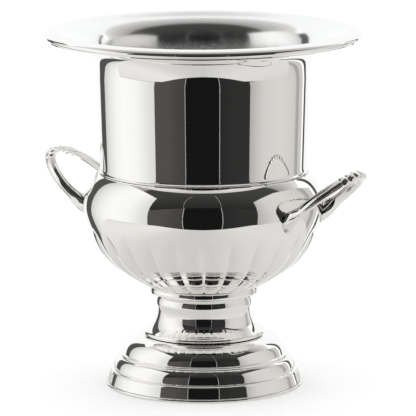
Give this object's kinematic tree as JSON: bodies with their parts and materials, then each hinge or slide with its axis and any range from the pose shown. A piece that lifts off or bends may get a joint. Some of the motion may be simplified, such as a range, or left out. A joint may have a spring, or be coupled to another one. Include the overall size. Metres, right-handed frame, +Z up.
{
  "type": "footed champagne bucket",
  "caption": "Footed urn-shaped metal bucket with a flared rim, a fluted lower bowl, two loop handles and a stepped round pedestal, for chilling a bottle on ice.",
  "frame": {"origin": "centre of the foot ring, on the surface the bucket stands on", "axes": "+Z up along the axis of the bucket, +X towards one handle, -X towards the other"},
  "size_m": [0.2552, 0.23, 0.26],
  "materials": {
    "silver_plate": "mirror-polished silver plate over brass",
    "bare_brass": "turned brass, unplated",
    "plain_steel": "zinc-plated steel hardware"
  },
  "bodies": {
    "root": {"rim_bead": "silver_plate", "neck_shell": "silver_plate", "bowl_shell": "silver_plate", "handle_right": "silver_plate", "handle_left": "silver_plate", "stem_collar": "silver_plate", "pedestal_stem": "silver_plate", "pedestal_base": "silver_plate", "foot_ring": "silver_plate", "bowl_boss": "bare_brass", "tie_stud": "plain_steel", "clamp_plate": "plain_steel", "lock_washer": "plain_steel", "clamp_nut": "plain_steel"}
  },
  "joints": []
}
